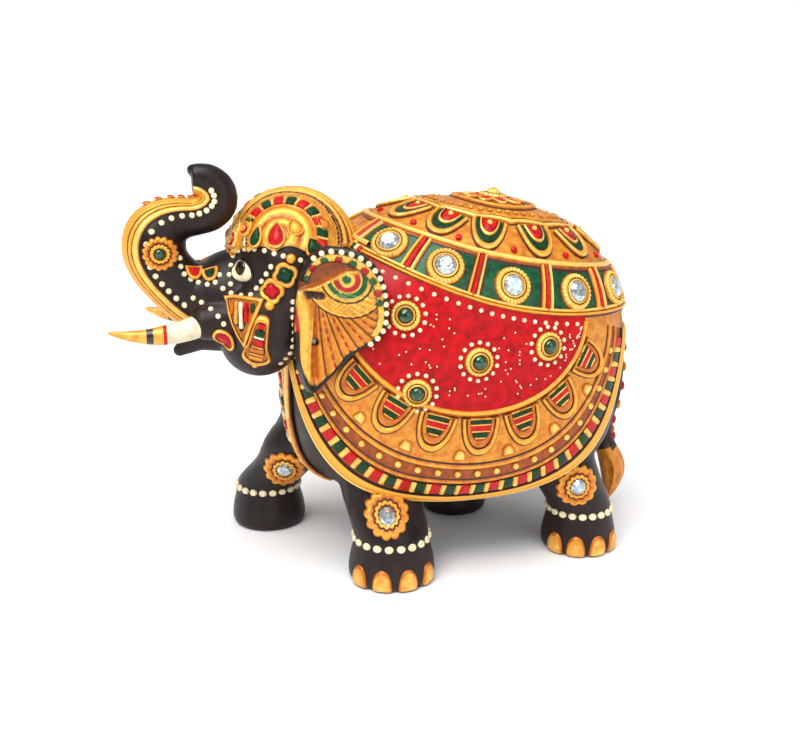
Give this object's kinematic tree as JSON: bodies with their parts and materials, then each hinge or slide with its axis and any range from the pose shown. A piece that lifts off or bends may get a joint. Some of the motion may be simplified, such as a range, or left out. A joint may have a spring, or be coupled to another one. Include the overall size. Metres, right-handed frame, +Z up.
{
  "type": "carved elephant figurine",
  "caption": "Free-standing carved wooden elephant with raised trunk, painted and dressed in raised-paste cloth set with glass stones.",
  "frame": {"origin": "on the floor, under the middle of the overall box", "axes": "+Z up, the elephant faces -Y, its left side is +X"},
  "size_m": [0.0886, 0.1826, 0.1343],
  "materials": {
    "dark_wood": "black-brown stained and lacquered",
    "bare_wood": "unfinished",
    "pin_steel": "dark",
    "tusk_paint": "ivory enamel on wood",
    "gold_paint": "gold paint shaded with orange on hard gesso paste",
    "red_paint": "gloss red enamel on gesso",
    "green_paint": "metallic green enamel on gesso",
    "cream_paint": "piped paint beads",
    "clear_stone": "faceted, foil-backed",
    "green_stone": "smooth cabochon",
    "mixed_paint": "red and green enamel on gesso"
  },
  "bodies": {
    "root": {"body": "dark_wood", "head": "dark_wood", "neck_dowel": "bare_wood", "ear_left": "dark_wood", "ear_right": "dark_wood", "ear_pins": "pin_steel", "tusk_left": "tusk_paint", "tusk_right": "tusk_paint", "tail": "dark_wood", "cloth_ground": "gold_paint", "cloth_rim": "gold_paint", "border_tiles_red": "red_paint", "border_tiles_green": "green_paint", "border_dots_raised": "gold_paint", "border_tongues": "gold_paint", "moon_panel_left": "red_paint", "moon_panel_right": "red_paint", "moon_settings": "gold_paint", "moon_stones": "green_stone", "moon_dots": "cream_paint", "green_band": "green_paint", "band_cords": "gold_paint", "band_bars": "mixed_paint", "band_settings": "gold_paint", "band_stones": "clear_stone", "lotus_petals": "gold_paint", "crown_rosette": "gold_paint", "neck_collar": "gold_paint", "headdress": "gold_paint", "headdress_blocks": "mixed_paint", "brow_drops": "mixed_paint", "trunk_band": "gold_paint", "trunk_setting": "gold_paint", "trunk_stone": "green_stone", "trunk_dots": "cream_paint", "eyes": "cream_paint", "eye_dots": "cream_paint", "cheek_ornaments": "gold_paint", "cheek_pendants": "gold_paint", "ear_relief_left": "gold_paint", "ear_relief_right": "gold_paint", "ear_dots": "cream_paint", "leg_settings": "gold_paint", "leg_stones": "clear_stone", "ankle_dots": "cream_paint", "toenails": "gold_paint", "breast_strap": "gold_paint", "rump_bumps": "mixed_paint"}
  },
  "joints": []
}
